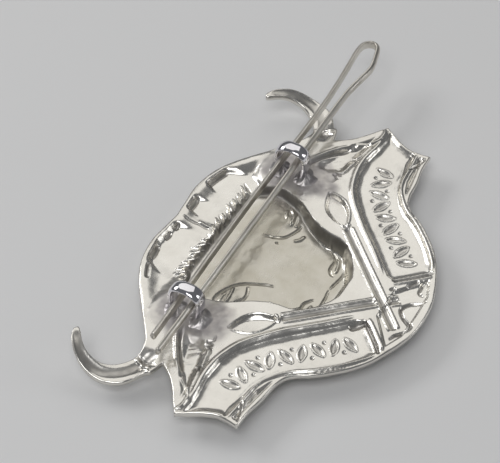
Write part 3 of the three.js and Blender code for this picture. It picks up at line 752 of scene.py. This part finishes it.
# ---- materials --------------------------------------------------------------------------------------------
class Nodes:
    """A new material with its Principled node at p, and short ways to add and link more nodes."""

    def __init__(self, name):
        self.m = bpy.data.materials.new(name)
        self.m.use_nodes = True
        self.t = self.m.node_tree
        self.p = self.t.nodes["Principled BSDF"]

    def add(self, kind, **values):
        n = self.t.nodes.new(kind)
        for k, v in values.items():
            setattr(n, k, v)
        return n

    def link(self, a, b):
        self.t.links.new(a, b)

    def coords(self, scale=(1, 1, 1)):
        c = self.add("ShaderNodeTexCoord")
        m = self.add("ShaderNodeMapping")
        m.inputs["Scale"].default_value = scale
        self.link(c.outputs["Object"], m.inputs["Vector"])
        return m.outputs["Vector"]

    def noise(self, vector, scale, detail=3.0, roughness=0.55):
        n = self.add("ShaderNodeTexNoise")
        n.inputs["Scale"].default_value = scale
        n.inputs["Detail"].default_value = detail
        n.inputs["Roughness"].default_value = roughness
        self.link(vector, n.inputs["Vector"])
        return n.outputs["Fac"]

    def ramp(self, fac, stops):
        r = self.add("ShaderNodeValToRGB")
        e = r.color_ramp.elements
        while len(e) < len(stops):
            e.new(0.5)
        for k, (pos, colour) in enumerate(stops):
            e[k].position = pos
            e[k].color = (*colour, 1)
        self.link(fac, r.inputs["Fac"])
        return r.outputs["Color"]

    def patches(self, scale, detail, low, high):
        """Grey patches that fade from the low stop (place, grey) to the high one."""
        stops = [(place, (grey,) * 3) for place, grey in (low, high)]
        return self.ramp(self.noise(self.coords(), scale, detail), stops)

    def math(self, op, a, b):
        n = self.add("ShaderNodeMath", operation=op)
        for socket, v in ((n.inputs[0], a), (n.inputs[1], b)):
            if isinstance(v, (int, float)):
                socket.default_value = v
            else:
                self.link(v, socket)
        return n.outputs["Value"]

    def mix(self, fac, a, b):
        n = self.add("ShaderNodeMix", data_type="RGBA")
        self.link(fac, n.inputs["Factor"])
        for socket, v in ((n.inputs[6], a), (n.inputs[7], b)):
            if isinstance(v, tuple):
                socket.default_value = (*v, 1)
            else:
                self.link(v, socket)
        return n.outputs[2]

    def attribute(self, name):
        return self.add("ShaderNodeAttribute", attribute_name=name).outputs["Fac"]

    def bump(self, height, strength, distance, normal=None):
        b = self.add("ShaderNodeBump")
        b.inputs["Strength"].default_value = strength
        b.inputs["Distance"].default_value = distance
        self.link(height, b.inputs["Height"])
        if normal is not None:
            self.link(normal, b.inputs["Normal"])
        return b.outputs["Normal"]


def plate_material():
    n = Nodes("white_metal")
    v = n.coords()
    cloudy = n.noise(v, 180, 4)
    fine = n.noise(v, 1400, 3)
    streak = n.noise(n.coords((1, 6, 1)), 900, 2)
    base = n.ramp(cloudy, [(0.3, (0.74, 0.715, 0.665)), (0.7, (0.87, 0.85, 0.80))])
    # darker in the struck lines, painted shade on the face's steep wall where it would mirror dark
    # surroundings, a dull warm tone inside the face, grey stains where it was soldered
    dark_lines_and_wall_shade = n.math("MULTIPLY", n.attribute("dark_lines_wall_shade"), n.patches(500, 2, (0.25, 0.55), (0.7, 1)))
    base = n.mix(dark_lines_and_wall_shade, base, (0.16, 0.15, 0.14))
    dull = n.math("MULTIPLY", n.attribute("hollow"), n.patches(260, 3, (0.3, 0.6), (0.7, 1)))
    base = n.mix(n.math("MULTIPLY", dull, 0.8), base, (0.47, 0.44, 0.36))
    heat = n.attribute("stain")
    greys = [(0.3, (0.24, 0.22, 0.235)), (0.52, (0.42, 0.395, 0.40)), (0.72, (0.64, 0.605, 0.58))]
    base = n.mix(n.math("MULTIPLY", heat, 0.75), base, n.ramp(n.noise(v, 420, 3), greys))
    n.link(base, n.p.inputs["Base Color"])
    rough = n.math("ADD", n.math("MULTIPLY", cloudy, 0.14), n.math("MULTIPLY", streak, 0.08))
    rough = n.math("ADD", rough, 0.14)
    rough = n.math("ADD", rough, n.math("MULTIPLY", heat, 0.22))
    rough = n.math("ADD", rough, n.math("MULTIPLY", dark_lines_and_wall_shade, 0.25))
    n.link(rough, n.p.inputs["Roughness"])
    n.p.inputs["Metallic"].default_value = 1.0
    normal = n.bump(fine, 0.12, 0.00003)
    normal = n.bump(cloudy, 0.25, 0.0002, normal)
    n.link(normal, n.p.inputs["Normal"])
    return n.m


def lug_material():
    n = Nodes("polished_lug")
    v = n.coords()
    cloudy = n.noise(v, 260, 3)
    n.link(n.ramp(cloudy, [(0.35, (0.74, 0.72, 0.76)), (0.65, (0.88, 0.87, 0.90))]), n.p.inputs["Base Color"])
    rough = n.math("ADD", n.math("MULTIPLY", n.noise(v, 700, 3), 0.10), 0.02)
    n.link(rough, n.p.inputs["Roughness"])
    n.p.inputs["Metallic"].default_value = 1.0
    n.link(n.bump(cloudy, 0.2, 0.0002), n.p.inputs["Normal"])
    return n.m


def solder_material():
    n = Nodes("solder")
    v = n.coords()
    lumps = n.noise(v, 650, 4)
    greys = [(0.3, (0.30, 0.28, 0.29)), (0.52, (0.47, 0.45, 0.45)), (0.75, (0.74, 0.71, 0.69))]
    n.link(n.ramp(n.noise(v, 380, 3), greys), n.p.inputs["Base Color"])
    n.link(n.math("ADD", n.math("MULTIPLY", lumps, 0.35), 0.2), n.p.inputs["Roughness"])
    n.p.inputs["Metallic"].default_value = 0.95
    n.link(n.bump(lumps, 0.5, 0.0003), n.p.inputs["Normal"])
    return n.m


def pin_material():
    n = Nodes("pin_wire")
    # lines left by drawing the wire, along it
    drawn = n.noise(n.coords((0.03, 1, 1)), 2600, 4, 0.6)
    cloudy = n.noise(n.coords(), 300, 3)
    base = n.ramp(cloudy, [(0.3, (0.64, 0.61, 0.55)), (0.7, (0.79, 0.76, 0.70))])
    base = n.mix(n.ramp(drawn, [(0.3, (1, 1, 1)), (0.45, (0, 0, 0))]), base, (0.42, 0.39, 0.35))
    n.link(base, n.p.inputs["Base Color"])
    n.link(n.math("ADD", n.math("MULTIPLY", drawn, 0.25), 0.2), n.p.inputs["Roughness"])
    n.p.inputs["Metallic"].default_value = 1.0
    n.link(n.bump(drawn, 0.25, 0.00004), n.p.inputs["Normal"])
    return n.m


# ---- pieces ------------------------------------------------------------------------------------------------
PLATE, LUG, SOLDER, WIRE = plate_material(), lug_material(), solder_material(), pin_material()

add_piece("badge_plate", make_plate(), PLATE, "badge", "struck_plate")
for side, label in ((-1, "left"), (1, "right")):
    name = f"{label}_loop_lug"
    add_piece(name, mesh_of(name, *make_lug(side)), LUG, "badge", f"{label}_lug")
    for foot, place in ((-1, "lower"), (1, "upper")):
        name = f"{label}_{place}_solder_lump"
        node = f"{label}_lug_{place}_solder"
        add_piece(name, mesh_of(name, *make_solder(side, foot)), SOLDER, "badge", node)
name = "half_round_split_pin"
add_piece(name, mesh_of(name, *make_pin()), WIRE, "pin", "split_pin")

# ---- floor, light, camera, in metres ---------------------------------------------------------------------
FLOOR_HALF = 3.0
LIGHT_DISTANCE = 0.6
LIT_POINT = Vector((0.003, 0.010, 0.004))
# name, azimuth and elevation in degrees, size, radiance, colour
LIGHTS = [
    ("broad", 120, 52, (0.62, 0.46), 0.82, (1.0, 0.985, 0.95)),
    ("rim", 178, 34, (0.34, 0.16), 5.0, (1, 1, 1)),
    ("front", -75, 60, (0.36, 0.30), 3.2, (1, 1, 1)),
    ("side", 30, 24, (0.12, 0.30), 2.2, (1, 1, 1)),
]
CAMERA_AZIMUTH = -59.92
CAMERA_ELEVATION = 48.19
CAMERA_DISTANCE = 0.27165
CAMERA_TARGET = [2.107, -0.196, GROUND]  # millimetres, from the line of the lugs
CAMERA_SENSOR = 36
CAMERA_LENS = 137.412


def toward(azimuth, elevation):
    """The direction from the object at these angles."""
    a, e = math.radians(azimuth), math.radians(elevation)
    return Vector((math.sin(a) * math.cos(e), -math.cos(a) * math.cos(e), math.sin(e)))


def put(name, data, at, away):
    """Adds a light or a camera at its place, looking back along away."""
    ob = bpy.data.objects.new(name, data)
    ob.location = at
    ob.rotation_mode = "QUATERNION"
    ob.rotation_quaternion = (-away).to_track_quat("-Z", "Y")
    bpy.context.scene.collection.objects.link(ob)
    return ob


w = FLOOR_HALF
floor_mesh = bpy.data.meshes.new("floor")
floor_mesh.from_pydata([(-w, -w, 0), (w, -w, 0), (w, w, 0), (-w, w, 0)], [], [(0, 1, 2, 3)])
floor = bpy.data.objects.new("floor", floor_mesh)
bpy.context.scene.collection.objects.link(floor)
floor_look = Nodes("floor")
floor_look.p.inputs["Base Color"].default_value = (0.80, 0.80, 0.80, 1)
floor_look.p.inputs["Roughness"].default_value = 0.75
floor_mesh.materials.append(floor_look.m)

world = bpy.data.worlds.new("studio")
bpy.context.scene.world = world
world.use_nodes = True
world.node_tree.nodes["Background"].inputs["Color"].default_value = (0.80, 0.82, 0.86, 1)
world.node_tree.nodes["Background"].inputs["Strength"].default_value = 0.16

for name, azimuth, elevation, (wide, high), radiance, colour in LIGHTS:
    lamp = bpy.data.lights.new(name, "AREA")
    lamp.shape = "RECTANGLE"
    lamp.size, lamp.size_y = wide, high
    lamp.energy = radiance * math.pi * wide * high
    lamp.color = colour
    away = toward(azimuth, elevation)
    put(name, lamp, LIT_POINT + away * LIGHT_DISTANCE, away)

cam = bpy.data.cameras.new("camera")
cam.sensor_width = CAMERA_SENSOR
cam.lens = CAMERA_LENS
cam.clip_start, cam.clip_end = 0.01, 10
away = toward(CAMERA_AZIMUTH, CAMERA_ELEVATION)
bpy.context.scene.camera = put("camera", cam, Vector(to_frame(CAMERA_TARGET)) + away * CAMERA_DISTANCE, away)

bpy.context.scene.view_settings.view_transform = "Standard"
